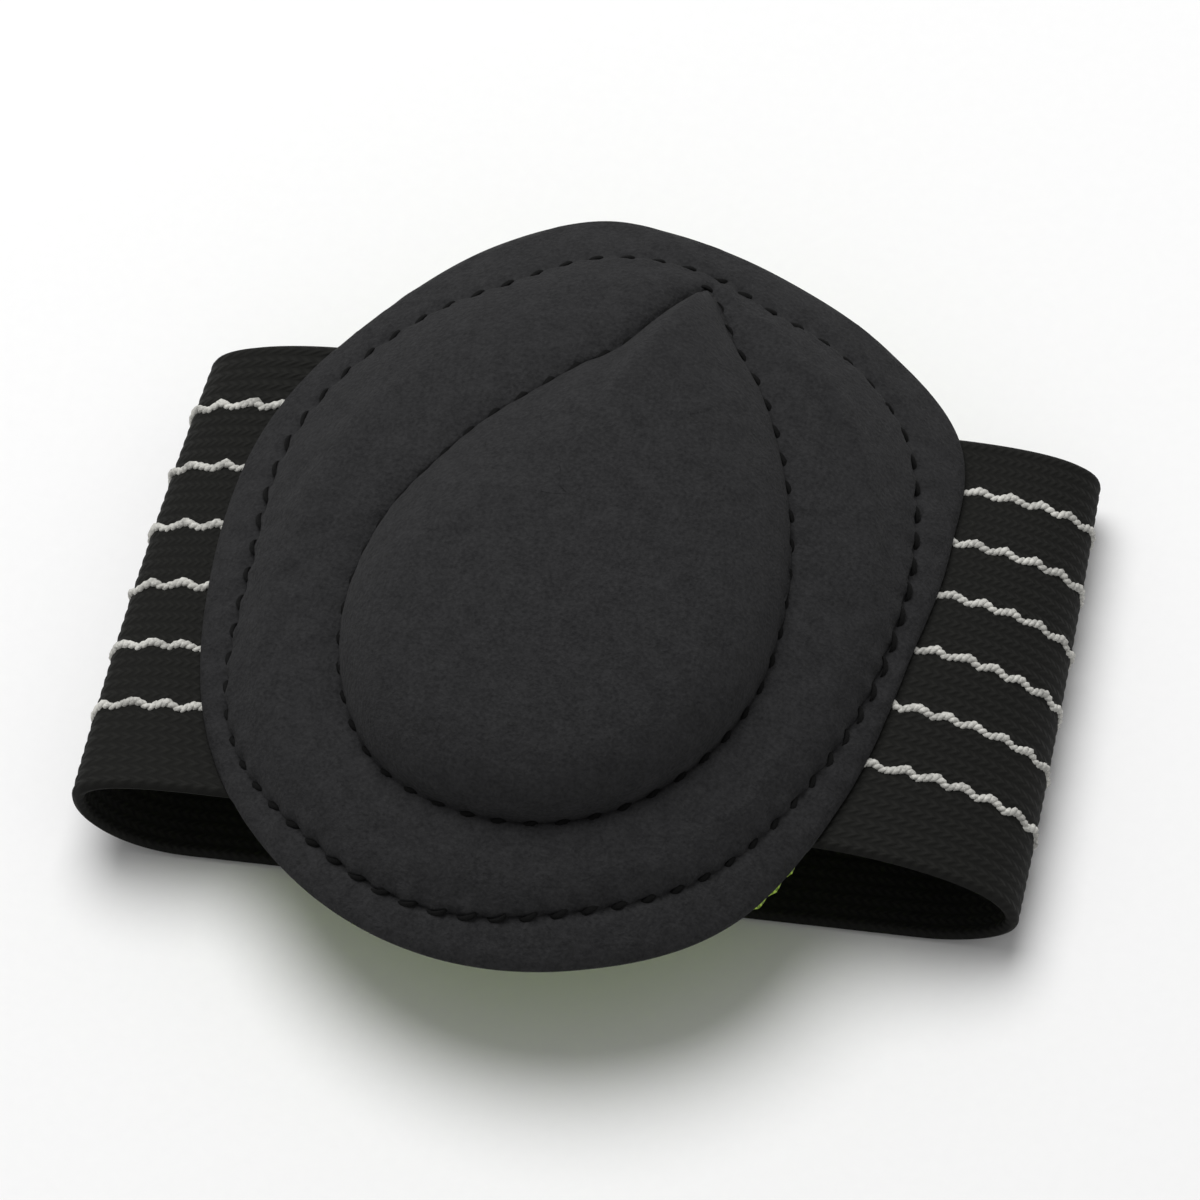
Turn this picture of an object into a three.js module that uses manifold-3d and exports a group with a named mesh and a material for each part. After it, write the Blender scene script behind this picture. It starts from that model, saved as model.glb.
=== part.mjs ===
// An arch support sleeve: a cupped, padded arch pad on an elastic band that closes round the midfoot.
// It lies on its band with the pad on top. The foot goes through between the pad's lining and the band.
// Millimetres, +Z up. +X runs across the pad towards its straighter side, +Y runs along the foot to its tip.
import * as THREE from "three";
import { mergeVertices } from "three/addons/utils/BufferGeometryUtils.js";
import Module from "manifold-3d";

// Pad, seen from above
const PAD_WIDTH = 81.3;
const PAD_LENGTH = 93.5;

// Pad, seen from the side. It is cupped over the arch: each drop is its fall over half the pad's size.
const SIDE_HEIGHT = 18; // of the pad's left side over the ground
const LEFT_DROP = 19;
const RIGHT_DROP = 20.5;
const NEAR_DROP = 14.4;
const FAR_DROP = 15.8;
const CROWN_ACROSS = 1.6; // from the pad's centre to its crown
const CROWN_ALONG = 6;
const NEAR_CURVE = 2.2; // exponent of the fall towards the near end
const SIDE_CURVE = 2; // the same for the other three

// Layers of the pad
const COVER_CLOTH = 1.5; // padded cloth over the cushion and over the band's ends
const LINING_THICKNESS = 1;
const LAYER_GAP = 0.3;
const LINING_INSET = 0.4; // from the cover's cut edge in to the lining's
const EDGE_ROUND = 0.9; // how far the cover's cut edge is rounded down
const EDGE_CURVE = 6; // exponent of that rounding

// Arch cushion, a teardrop of foam
const CUSHION_RISE = 4.6;
const CUSHION_SAG = 2; // how far it presses the lining down into the arch
const CUSHION_SHOULDER = 15; // from its seam in to where it has its full rise
const CUSHION_FULLNESS = 2.4; // exponent of that rise
const CUSHION_INSET = 2; // from its seam in to the foam's edge

// Quilting
const SEAM_SINK = 0.9;
const SEAM_WIDTH = 2.6;
const BORDER_PUFF = 1.1; // rise of the border between both seams, where it is at its full width
const BORDER_WIDTH = 16;

// Elastic band
const BAND_WIDTH = 58;
const BAND_THICKNESS = 1.5;
const BAND_SHIFT = 1.5; // from the pad's centre to the band's middle line, towards the tip
const BAND_SKEW = 0.084; // how far the band runs towards the tip for each millimetre to the right
const BAND_TUCK = 7; // length of each end between the cover and the lining
const LEFT_WING = 8.2; // from the pad's side to the middle of the band's fold, at the near edge
const RIGHT_WING = 14.4;
const LEFT_TAPER = 2.6; // how much shorter that is at the far edge
const RIGHT_TAPER = 1.2;
const LEFT_FOLD_HEIGHT = 10.8; // of the outermost line of the fold over the ground
const RIGHT_FOLD_HEIGHT = 6;
const LEFT_FOLD_TURN = 12; // from that line in to where the band meets the ground
const RIGHT_FOLD_TURN = 10;
const WING_BOW = 0.3; // how far a wing runs level from the pad and upright from its fold, over its chord

// Facets
const SPOKES = 60;
const COVER_RINGS = [0.3, 0.6, 0.8]; // shares of the way out to the cushion's seam
const LINING_RINGS = [0.4, 0.75];
const NARROW_SHARE = 0.4; // of a narrow zone between two lines, the most that one inset takes
const BAND_COLUMNS = 10;
const TUCK_STEPS = 3;
const WING_STEPS = 8;
const FOLD_STEPS = 8;
const GROUND_STEPS = 4;
const BISECTIONS = 30;
const WELD = 1e-3; // corners closer than this are one

// Outline of the pad along spokes from its centre, counted in degrees from +X. Each column is a share of the
// pad's half size: the cut edge, the edge seam and the seam round the arch cushion, which has a sharp tip.
const CUSHION_TIP = 75.5;
const OUTLINE = [
  { angle: 0, edge: 0.96, seam: 0.905, cushion: 0.62 },
  { angle: 20, edge: 1.065, seam: 0.965, cushion: 0.615 },
  { angle: 36, edge: 1.18, seam: 1.01, cushion: 0.63 },
  { angle: 50, edge: 1.11, seam: 0.96, cushion: 0.665 },
  { angle: 64, edge: 1.03, seam: 0.88, cushion: 0.715 },
  { angle: CUSHION_TIP, edge: 1, seam: 0.875, cushion: 0.825 },
  { angle: 86, edge: 1, seam: 0.865, cushion: 0.56 },
  { angle: 98, edge: 1.02, seam: 0.85, cushion: 0.47 },
  { angle: 115, edge: 0.99, seam: 0.805, cushion: 0.41 },
  { angle: 135, edge: 0.965, seam: 0.84, cushion: 0.4 },
  { angle: 160, edge: 1.01, seam: 0.9, cushion: 0.435 },
  { angle: 185, edge: 1, seam: 0.885, cushion: 0.54 },
  { angle: 210, edge: 1.02, seam: 0.965, cushion: 0.65 },
  { angle: 235, edge: 1.01, seam: 0.93, cushion: 0.715 },
  { angle: 260, edge: 1, seam: 0.915, cushion: 0.71 },
  { angle: 285, edge: 0.995, seam: 0.885, cushion: 0.7 },
  { angle: 310, edge: 1, seam: 0.89, cushion: 0.68 },
  { angle: 335, edge: 0.955, seam: 0.875, cushion: 0.655 },
];

const halfWidth = PAD_WIDTH / 2;
const halfLength = PAD_LENGTH / 2;
const crownHeight = SIDE_HEIGHT + LEFT_DROP;
const coverDepth = COVER_CLOTH + LAYER_GAP + BAND_THICKNESS;
const bandDepth = COVER_CLOTH + LAYER_GAP + BAND_THICKNESS / 2;
const liningDepth = coverDepth + LAYER_GAP;

// A column of the outline at any angle, on a smooth closed curve through the rows.
function outlineShare(column, angle) {
  const count = OUTLINE.length;
  const at = THREE.MathUtils.euclideanModulo(angle, 360);
  const row = OUTLINE.findLastIndex((entry) => entry.angle <= at);
  const entry = (index) => OUTLINE[(index + count) % count];
  const turn = (index) => entry(index).angle + 360 * Math.floor(index / count);
  const rise = (from, to) => (entry(to)[column] - entry(from)[column]) / (turn(to) - turn(from));
  const sharp = (index) => column === "cushion" && entry(index).angle === CUSHION_TIP;

  const span = turn(row + 1) - turn(row);
  const t = (at - turn(row)) / span;
  const leaving = sharp(row) ? rise(row, row + 1) : rise(row - 1, row + 1);
  const arriving = sharp(row + 1) ? rise(row, row + 1) : rise(row, row + 2);
  const blend = THREE.MathUtils.smoothstep(t, 0, 1);
  const straight = THREE.MathUtils.lerp(entry(row)[column], entry(row + 1)[column], blend);
  return straight + span * t * (1 - t) * (leaving * (1 - t) - arriving * t);
}

function planPoint(angle, share) {
  const turn = THREE.MathUtils.degToRad(angle);
  return new THREE.Vector2(halfWidth * share * Math.cos(turn), halfLength * share * Math.sin(turn));
}

// One spoke of the pad. Reach counts out along it: 0 at the centre, 1 on the cushion's seam, 2 on the edge
// seam and 3 on the cut edge.
function spoke(angle) {
  const stops = [0, ...["cushion", "seam", "edge"].map((column) => outlineShare(column, angle))];
  const length = planPoint(angle, 1).length();
  const width = (zone) => (stops[zone + 1] - stops[zone]) * length;
  return {
    width,
    // A whole reach with an inset in millimetres lies inside its line, or outside where that is negative.
    reachOf({ reach, inset }) {
      if (inset === 0) return reach;
      const zone = inset > 0 ? reach - 1 : reach;
      return reach - Math.sign(inset) * Math.min(Math.abs(inset) / width(zone), NARROW_SHARE);
    },
    pointAt(reach) {
      const zone = Math.min(Math.floor(reach), 2);
      return planPoint(angle, THREE.MathUtils.lerp(stops[zone], stops[zone + 1], reach - zone));
    },
  };
}

function ring(reach, inset = 0) {
  return { reach, inset };
}

// Height of the pad's plain outer surface, without its cushion and seams.
function padHeight(x, y) {
  const across = (x - CROWN_ACROSS) / halfWidth;
  const along = (y - CROWN_ALONG) / halfLength;
  const side = (across < 0 ? LEFT_DROP : RIGHT_DROP) * Math.abs(across) ** SIDE_CURVE;
  const near = NEAR_DROP * Math.abs(along) ** NEAR_CURVE;
  const end = along < 0 ? near : FAR_DROP * along ** SIDE_CURVE;
  return crownHeight - side - end;
}

// The point that lies a lift above the pad's plain surface, square to it.
function onPad(x, y, lift) {
  const step = 0.05;
  const slopeX = (padHeight(x + step, y) - padHeight(x - step, y)) / (2 * step);
  const slopeY = (padHeight(x, y + step) - padHeight(x, y - step)) / (2 * step);
  const normal = new THREE.Vector3(-slopeX, -slopeY, 1).normalize();
  return new THREE.Vector3(x, y, padHeight(x, y)).addScaledVector(normal, lift);
}

// How much of its full rise the foam has at a distance inside its seam.
function foamShare(distance) {
  const t = Math.min(distance / CUSHION_SHOULDER, 1);
  return 1 - (1 - t) ** CUSHION_FULLNESS;
}

function groove(distance) {
  return SEAM_SINK * Math.max(0, 1 - (2 * distance) / SEAM_WIDTH);
}

// Lift of the cover's outer face at a reach along a spoke.
function coverLift(ray, reach) {
  if (reach <= 1) {
    const inside = (1 - reach) * ray.width(0);
    return CUSHION_RISE * foamShare(inside) - groove(inside);
  }
  if (reach <= 2) {
    const width = ray.width(1);
    const across = reach - 1;
    const puff = BORDER_PUFF * Math.min(1, width / BORDER_WIDTH) * 4 * across * (1 - across);
    return puff - groove(across * width) - groove((1 - across) * width);
  }
  const past = reach - 2;
  return -groove(past * ray.width(2)) - EDGE_ROUND * past ** EDGE_CURVE;
}

// How far the cushion presses the lining down.
function liningSag(ray, reach) {
  return reach < 1 ? CUSHION_SAG * foamShare((1 - reach) * ray.width(0)) : 0;
}

function indexedGeometry(points, faces) {
  const geometry = new THREE.BufferGeometry().setFromPoints(points);
  geometry.setIndex(faces);
  return geometry;
}

// A closed solid from loops of points that run out from the pole of a top face and back to that of a bottom
// face. Each quad is split from its inner near corner, so that two such faces fit each other.
function solidOfLoops(topPole, top, bottom, bottomPole) {
  const loops = [...top, ...bottom];
  const points = [topPole, ...loops.flat(), bottomPole];
  const around = loops[0].length;
  const last = points.length - 1;
  const faces = [];
  for (let k = 0; k < around; k += 1) {
    const next = (k + 1) % around;
    faces.push(0, 1 + k, 1 + next);
    for (let loop = 0; loop < loops.length - 1; loop += 1) {
      const [a, b] = [1 + loop * around + k, 1 + loop * around + next];
      const [c, d] = [a + around, b + around];
      if (loop < top.length) {
        faces.push(a, c, d, a, d, b);
      } else {
        faces.push(a, c, b, c, d, b);
      }
    }
    const end = 1 + (loops.length - 1) * around;
    faces.push(last, end + next, end + k);
  }
  return indexedGeometry(points, faces);
}

// A closed strap between two grids of points, each a list of rows that run across the strap.
function solidOfStrap(upper, lower) {
  const rows = upper.length;
  const columns = upper[0].length;
  const faces = [];
  const at = (side, row, column) => (side * rows + row) * columns + column;
  const quad = (a, b, c, d) => faces.push(a, b, c, a, c, d);
  for (let row = 0; row < rows - 1; row += 1) {
    for (let column = 0; column < columns - 1; column += 1) {
      quad(at(0, row, column), at(0, row, column + 1), at(0, row + 1, column + 1), at(0, row + 1, column));
      quad(at(1, row, column), at(1, row + 1, column), at(1, row + 1, column + 1), at(1, row, column + 1));
    }
    const end = columns - 1;
    quad(at(0, row, 0), at(0, row + 1, 0), at(1, row + 1, 0), at(1, row, 0));
    quad(at(0, row, end), at(1, row, end), at(1, row + 1, end), at(0, row + 1, end));
  }
  const last = rows - 1;
  for (let column = 0; column < columns - 1; column += 1) {
    quad(at(0, 0, column), at(1, 0, column), at(1, 0, column + 1), at(0, 0, column + 1));
    quad(at(0, last, column), at(0, last, column + 1), at(1, last, column + 1), at(1, last, column));
  }
  return indexedGeometry([...upper.flat(), ...lower.flat()], faces);
}

// One layer of the pad: the same spokes on the rings of a top face and then on those of a bottom face.
function padLayer(topRings, topLift, bottomRings, bottomLift) {
  const loop = (stop, lift) =>
    Array.from({ length: SPOKES }, (_, k) => {
      const ray = spoke(CUSHION_TIP + (360 * k) / SPOKES);
      const reach = ray.reachOf(stop);
      const { x, y } = ray.pointAt(reach);
      return onPad(x, y, lift(ray, reach));
    });
  const pole = (lift) => onPad(0, 0, lift(spoke(CUSHION_TIP), 0));
  const top = topRings.map((stop) => loop(stop, topLift));
  const bottom = bottomRings.map((stop) => loop(stop, bottomLift));
  return solidOfLoops(pole(topLift), top, bottom, pole(bottomLift));
}

const halfSeam = SEAM_WIDTH / 2;
const cushionEdge = ring(1, CUSHION_INSET);
const liningEdge = ring(3, LINING_INSET);
// The lining, the cover's underside and the cushion share their rings, so that they lie facet on facet.
const foamRings = LINING_RINGS.map((share) => ring(share));
const borderMiddle = ring(1.5);
const liningRings = [...foamRings, cushionEdge, ring(1), borderMiddle, ring(2), liningEdge];
const seamRings = (reach) => [ring(reach, halfSeam), ring(reach), ring(reach, -halfSeam)];
const coverRings = [
  ...[...COVER_RINGS.map((share) => ring(share)), ring(1, SEAM_WIDTH), ...seamRings(1), borderMiddle],
  ...[...seamRings(2), ring(3, EDGE_ROUND), ring(3)],
];

function coverBlank() {
  return padLayer(coverRings, coverLift, [ring(3), ...liningRings.toReversed()], () => -coverDepth);
}

// The arch cushion, or with a gap the room that it needs.
function cushionGeometry(gap) {
  const rings = [...foamRings, ring(1, CUSHION_INSET - gap)];
  const foamTop = COVER_CLOTH + LAYER_GAP - gap;
  const top = (ray, reach) => CUSHION_RISE * foamShare((1 - reach) * ray.width(0)) - foamTop;
  const bottom = (ray, reach) => -coverDepth - liningSag(ray, reach) - gap;
  return padLayer(rings, top, rings.toReversed(), bottom);
}

function liningGeometry() {
  const outer = (ray, reach) => -liningDepth - liningSag(ray, reach);
  const inner = (ray, reach) => outer(ray, reach) - LINING_THICKNESS;
  return padLayer(liningRings, outer, liningRings.toReversed(), inner);
}

// The band's own line at v, a distance from its middle line towards the tip.
function alongBand(v, x) {
  return v + BAND_SHIFT + BAND_SKEW * x;
}

// The edge of the pad on one side, -1 left or 1 right, where the band's line at v crosses it.
function edgeCrossing(v, side) {
  let near = side < 0 ? 270 : -90;
  let far = 90;
  const point = (angle) => planPoint(angle, outlineShare("edge", angle));
  for (let step = 0; step < BISECTIONS; step += 1) {
    const middle = (near + far) / 2;
    const { x, y } = point(middle);
    if (y < alongBand(v, x)) {
      near = middle;
    } else {
      far = middle;
    }
  }
  return point(near).x;
}

// Where the middle of the band's cloth turns back on one side.
function foldLine(v, side) {
  const wing = side < 0 ? LEFT_WING : RIGHT_WING;
  const taper = side < 0 ? LEFT_TAPER : RIGHT_TAPER;
  const farShare = v / BAND_WIDTH + 0.5;
  return side * (halfWidth + wing - taper * farShare ** 2);
}

// The tucked end of the band's middle line at v, from its tip out to the pad's edge.
function tuckRun(v, side, tuck) {
  const edge = edgeCrossing(v, side);
  return Array.from({ length: TUCK_STEPS + 1 }, (_, step) => {
    const x = edge - side * tuck * (1 - step / TUCK_STEPS);
    return onPad(x, alongBand(v, x), -bandDepth);
  });
}

// The band's middle line at v on one side: the tuck, the wing out to the fold and the turn to the ground.
function bandRun(v, side, tuck) {
  const run = tuckRun(v, side, tuck);
  const start = run[TUCK_STEPS];
  const fold = foldLine(v, side);
  const height = side < 0 ? LEFT_FOLD_HEIGHT : RIGHT_FOLD_HEIGHT;
  const end = new THREE.Vector3(fold, alongBand(v, fold), height);
  const bow = WING_BOW * start.distanceTo(end);
  const leaving = start.clone().add(new THREE.Vector3(side, side * BAND_SKEW, 0).multiplyScalar(bow));
  const arriving = end.clone().setZ(height + bow);
  const wing = new THREE.CubicBezierCurve3(start, leaving, arriving, end);
  run.push(...wing.getPoints(WING_STEPS).slice(1));

  const reach = side < 0 ? LEFT_FOLD_TURN : RIGHT_FOLD_TURN;
  const drop = height - BAND_THICKNESS / 2;
  for (let step = 1; step <= FOLD_STEPS; step += 1) {
    const turn = (Math.PI / 2) * (step / FOLD_STEPS);
    const x = fold - side * reach * (1 - Math.cos(turn));
    run.push(new THREE.Vector3(x, alongBand(v, x), height - drop * Math.sin(turn)));
  }
  return run;
}

// Turns lines that run along a strap into the two faces of the strap, row by row.
function strapFaces(lines, thickness) {
  const rows = lines[0].length;
  const last = lines.length - 1;
  const rowOf = (row, side) =>
    lines.map((line, column) => {
      const along = line[Math.min(row + 1, rows - 1)].clone().sub(line[Math.max(row - 1, 0)]);
      const across = lines[Math.min(column + 1, last)][row].clone();
      across.sub(lines[Math.max(column - 1, 0)][row]);
      return across.cross(along).setLength((side * thickness) / 2).add(line[row]);
    });
  return [1, -1].map((side) => Array.from({ length: rows }, (_, row) => rowOf(row, side)));
}

// Places across a strap, from one selvedge to the other.
function acrossBand(width) {
  return Array.from({ length: BAND_COLUMNS + 1 }, (_, k) => width * (k / BAND_COLUMNS - 0.5));
}

function bandGeometry() {
  const lines = acrossBand(BAND_WIDTH).map((v) => {
    const left = bandRun(v, -1, BAND_TUCK);
    const right = bandRun(v, 1, BAND_TUCK).reverse();
    const ground = new THREE.LineCurve3(left[left.length - 1], right[0]).getPoints(GROUND_STEPS);
    return [...left, ...ground.slice(1, -1), ...right];
  });
  const [outer, inner] = strapFaces(lines, BAND_THICKNESS);
  for (const point of outer.flat()) {
    point.z = Math.max(point.z, 0);
  }
  return solidOfStrap(outer, inner);
}

// The room for one end of the band, a gap larger all round than the end itself and open past the pad's edge.
function tuckRoom(side) {
  const rows = TUCK_STEPS + WING_STEPS / 2;
  const lines = acrossBand(BAND_WIDTH + 2 * LAYER_GAP).map((v) => {
    const line = bandRun(v, side, BAND_TUCK + LAYER_GAP).slice(0, rows + 1);
    return side < 0 ? line : line.reverse();
  });
  return solidOfStrap(...strapFaces(lines, BAND_THICKNESS + 2 * LAYER_GAP));
}

const wasm = await Module();
wasm.setup();

function toSolid(geometry) {
  const bare = geometry.clone();
  bare.deleteAttribute("normal");
  bare.deleteAttribute("uv");
  const merged = mergeVertices(bare, WELD);
  const vertProperties = merged.attributes.position.array;
  const triVerts = new Uint32Array(merged.index.array);
  return new wasm.Manifold(new wasm.Mesh({ numProp: 3, vertProperties, triVerts }));
}

function toGeometry(solid) {
  const mesh = solid.getMesh();
  const geometry = new THREE.BufferGeometry();
  geometry.setAttribute("position", new THREE.BufferAttribute(mesh.vertProperties, 3));
  geometry.setIndex(new THREE.BufferAttribute(mesh.triVerts, 1));
  return geometry;
}

function coverGeometry() {
  const rooms = [cushionGeometry(LAYER_GAP), tuckRoom(-1), tuckRoom(1)];
  return toGeometry(rooms.reduce((solid, room) => solid.subtract(toSolid(room)), toSolid(coverBlank())));
}

const materials = {
  brushedCloth: new THREE.MeshStandardMaterial({ color: 0x2f2f30, roughness: 0.95, metalness: 0 }),
  limeKnit: new THREE.MeshStandardMaterial({ color: 0xa9cf4a, roughness: 0.85, metalness: 0 }),
  foam: new THREE.MeshStandardMaterial({ color: 0xd8d5c8, roughness: 0.9, metalness: 0 }),
  elastic: new THREE.MeshStandardMaterial({ color: 0x161714, roughness: 0.8, metalness: 0 }),
};

function piece(name, geometry, material) {
  const mesh = new THREE.Mesh(geometry, material);
  mesh.name = name;
  return mesh;
}

const sleeve = new THREE.Group();
sleeve.add(
  piece("pad_cover", coverGeometry(), materials.brushedCloth),
  piece("arch_cushion", cushionGeometry(0), materials.foam),
  piece("pad_lining", liningGeometry(), materials.limeKnit),
  piece("elastic_band", bandGeometry(), materials.elastic),
);

// The origin is under the middle of the whole sleeve, on the ground that it lies on.
const extent = new THREE.Box3().setFromObject(sleeve, true);
const middle = extent.getCenter(new THREE.Vector3());
sleeve.position.set(-middle.x, -middle.y, -extent.min.z);

export default sleeve;
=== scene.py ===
"""Arch support sleeve: quilted cover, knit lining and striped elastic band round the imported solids."""

import math

import bpy
import numpy as np
from bpy.props import FloatProperty, FloatVectorProperty, IntProperty, PointerProperty
from mathutils import Matrix, Vector, noise


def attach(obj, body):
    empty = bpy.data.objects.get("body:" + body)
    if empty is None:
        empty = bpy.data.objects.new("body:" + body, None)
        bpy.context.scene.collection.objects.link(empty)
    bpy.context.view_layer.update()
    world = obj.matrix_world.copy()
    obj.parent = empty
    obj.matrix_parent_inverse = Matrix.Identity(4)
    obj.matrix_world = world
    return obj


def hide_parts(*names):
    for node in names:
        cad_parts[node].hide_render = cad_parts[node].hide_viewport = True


bl_info = {
    "name": "Arch Support Sleeve",
    "version": (1, 0, 0),
    "blender": (4, 5, 0),
    "location": "3D View > Sidebar > Sleeve",
    "description": "Models a quilted arch support sleeve on a striped elastic band",
    "category": "Object",
}

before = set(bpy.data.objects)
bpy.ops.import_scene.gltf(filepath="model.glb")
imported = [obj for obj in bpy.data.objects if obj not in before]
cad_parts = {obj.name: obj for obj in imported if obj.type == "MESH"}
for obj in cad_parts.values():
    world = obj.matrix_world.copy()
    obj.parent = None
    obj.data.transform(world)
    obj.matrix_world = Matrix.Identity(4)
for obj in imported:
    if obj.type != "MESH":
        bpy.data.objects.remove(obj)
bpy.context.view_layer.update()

# Outline of the pad along spokes from its centre: degrees from +X, then the cushion's seam, the edge seam
# and the cut edge as shares of the pad's half size. The cushion's seam has a sharp tip.
CUSHION_TIP = 75.5
OUTLINE = (
    (0, 0.62, 0.905, 0.96),
    (20, 0.615, 0.965, 1.065),
    (36, 0.63, 1.01, 1.18),
    (50, 0.665, 0.96, 1.11),
    (64, 0.715, 0.88, 1.03),
    (CUSHION_TIP, 0.825, 0.875, 1.0),
    (86, 0.56, 0.865, 1.0),
    (98, 0.47, 0.85, 1.02),
    (115, 0.41, 0.805, 0.99),
    (135, 0.4, 0.84, 0.965),
    (160, 0.435, 0.9, 1.01),
    (185, 0.54, 0.885, 1.0),
    (210, 0.65, 0.965, 1.02),
    (235, 0.715, 0.93, 1.01),
    (260, 0.71, 0.915, 1.0),
    (285, 0.7, 0.885, 0.995),
    (310, 0.68, 0.89, 1.0),
    (335, 0.655, 0.875, 0.955),
)


def linear_colour(code):
    """A linear colour from the six digits of an sRGB one."""
    parts = [int(code[place : place + 2], 16) / 255 for place in (0, 2, 4)]
    return tuple(part / 12.92 if part <= 0.04045 else ((part + 0.055) / 1.055) ** 2.4 for part in parts)


def size(name, description, default):
    return FloatProperty(name=name, description=description, default=default, unit="LENGTH", precision=5)


def angle(name, description, default):
    return FloatProperty(name=name, description=description, default=default, unit="ROTATION")


def plain(name, description, default):
    """A setting without a unit."""
    return FloatProperty(name=name, description=description, default=default)


def colour(name, description, code):
    default = linear_colour(code)
    return FloatVectorProperty(name=name, description=description, default=default, subtype="COLOR")


class PadSizes(bpy.types.PropertyGroup):
    """Sizes of the quilted pad"""

    centre_x: size("Centre across", "Middle of the pad across the sleeve", -0.003098)
    centre_y: size("Centre along", "Middle of the pad along the foot", -0.000431)
    width: size("Width", "Width of the pad seen from above", 0.0813)
    length: size("Length", "Length of the pad seen from above", 0.0935)
    crown_height: size("Crown height", "Height of the pad's plain surface at its crown", 0.037)
    crown_across: size("Crown across", "From the pad's middle to its crown, across", 0.0016)
    crown_along: size("Crown along", "From the pad's middle to its crown, along", 0.006)
    left_drop: size("Left drop", "Fall of the surface towards the left side", 0.019)
    right_drop: size("Right drop", "Fall of the surface towards the right side", 0.0205)
    near_drop: size("Near drop", "Fall of the surface towards the near end", 0.0144)
    far_drop: size("Far drop", "Fall of the surface towards the far end", 0.0158)
    near_curve: plain("Near curve", "Exponent of the fall towards the near end", 2.2)
    cloth: size("Cover cloth", "Thickness of the padded cloth over the cushion", 0.0015)
    lining: size("Lining", "Thickness of the knit lining", 0.001)
    gap: size("Layer gap", "Gap between two layers", 0.0003)
    lining_inset: size("Lining inset", "From the cover's cut edge in to the lining's", 0.0004)
    edge_round: size("Edge round", "How far the cover's cut edge rolls down", 0.0006)


class QuiltSizes(bpy.types.PropertyGroup):
    """Sizes of the cushion and of the seams round it"""

    rise: size("Cushion rise", "Rise of the arch cushion over the pad", 0.0046)
    near_bulge: plain("Near bulge", "Share by which the cover rises higher at the cushion's near end", 0.28)
    sag: size("Cushion sag", "How far the cushion presses the lining down", 0.002)
    shoulder: size("Shoulder", "From the cushion's seam in to its full rise", 0.015)
    fullness: plain("Fullness", "Exponent of the cushion's rise", 2.4)
    peep: size("Lining peep", "How far the lining's frayed edge peeps out", 0.0017)
    inset: size("Foam inset", "From the cushion's seam in to the foam", 0.002)
    seam_sink: size("Seam sink", "Depth of a seam in the cover", 0.0012)
    seam_reach: size("Seam reach", "How fast the cover rises again beside a seam", 0.0009)
    swell: size("Swell", "How far swelling may move a point of the cover", 0.001)
    puff: size("Border puff", "Rise of the border between both seams", 0.0011)
    border: size("Border width", "Width at which the border has its full puff", 0.016)
    pitch: size("Stitch pitch", "From one stitch to the next", 0.0036)
    stitch: size("Stitch length", "Length of one stitch", 0.0024)
    thread: size("Thread", "Width of the sewing thread as it lies", 0.0008)
    slant: angle("Slant", "Turn of a stitch to its seam", 0.4)


class BandSizes(bpy.types.PropertyGroup):
    """Sizes of the elastic band and its stripes"""

    width: size("Width", "Width of the band", 0.058)
    thickness: size("Thickness", "Thickness of the band", 0.0015)
    shift: size("Shift", "From the pad's middle to the band's middle line", 0.0015)
    skew: plain("Skew", "Slope of the band's lines seen from above", 0.084)
    tuck: size("Tuck", "Length of each end between cover and lining", 0.007)
    left_wing: size("Left wing", "From the pad's side out to the left fold", 0.0082)
    right_wing: size("Right wing", "From the pad's side out to the right fold", 0.0144)
    left_taper: size("Left taper", "How much shorter the left wing is at the far edge", 0.0026)
    right_taper: size("Right taper", "How much shorter the right wing is at the far edge", 0.0012)
    left_fold: size("Left fold height", "Height of the left fold's outermost line", 0.0108)
    right_fold: size("Right fold height", "Height of the right fold's outermost line", 0.006)
    left_turn: size("Left fold turn", "From the left fold in to where the band lies flat", 0.012)
    right_turn: size("Right fold turn", "From the right fold in to where the band lies flat", 0.01)
    roll: size("Edge roll", "Width over which the band's edges round off", 0.0007)
    bow: plain("Wing bow", "How far a wing bows out, over its chord", 0.3)
    wale: size("Wale pitch", "From one rib of the knit to the next", 0.00145)
    wale_depth: size("Wale depth", "Depth of the grooves between the ribs", 0.00012)
    stripes: IntProperty(name="Stripes", description="Number of light stripes", default=6, min=1)
    first_stripe: size("First stripe", "From the band's middle line to its farthest stripe", 0.0214)
    stripe_pitch: size("Stripe pitch", "From one stripe to the next", 0.0079)
    yarn: size("Stripe yarn", "Thickness of one ply of the stripes' yarn", 0.00065)
    twist: size("Twist", "Length of one turn of the two plies", 0.0014)
    zigzag: size("Zigzag", "How far a stripe swings to each side", 0.0004)
    zigzag_pitch: size("Zigzag pitch", "Length of one swing of a stripe", 0.0035)
    uneven: size("Unevenness", "Length over which the stripes' yarn lies differently", 0.0025)


class FinishColours(bpy.types.PropertyGroup):
    """Colours of the cloths and threads"""

    cloth: colour("Cover", "Brushed nylon of the cover", "313132")
    # The cover's darker colour stands for random mottle and for painted shade among its deeper fibres.
    cloth_mottle_and_shade: colour("Cover shade", "The deeper fibres of the cover", "212122")
    lining: colour("Lining", "Knit of the lining", "b9dc50")
    # The lining's darker colour is painted shade in the holes of its knit.
    lining_painted_shade: colour("Lining shade", "Holes of the lining's knit", "86a832")
    elastic: colour("Elastic", "Knit elastic of the band", "1a1a18")
    # The elastic's darker colour is painted shade in the grooves of its knit.
    elastic_painted_shade: colour("Elastic shade", "Grooves of the band's knit", "0f0f0d")
    yarn: colour("Stripe yarn", "Light yarn of the stripes", "d3d2cc")
    thread: colour("Thread", "Sewing thread of the cover", "060606")
    lining_thread: colour("Lining thread", "Sewing thread of the lining", "6d8732")
    foam: colour("Foam", "Foam of the arch cushion", "d8d5c8")
    floor: colour("Floor", "Plain floor", "f4f4f4")


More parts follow.
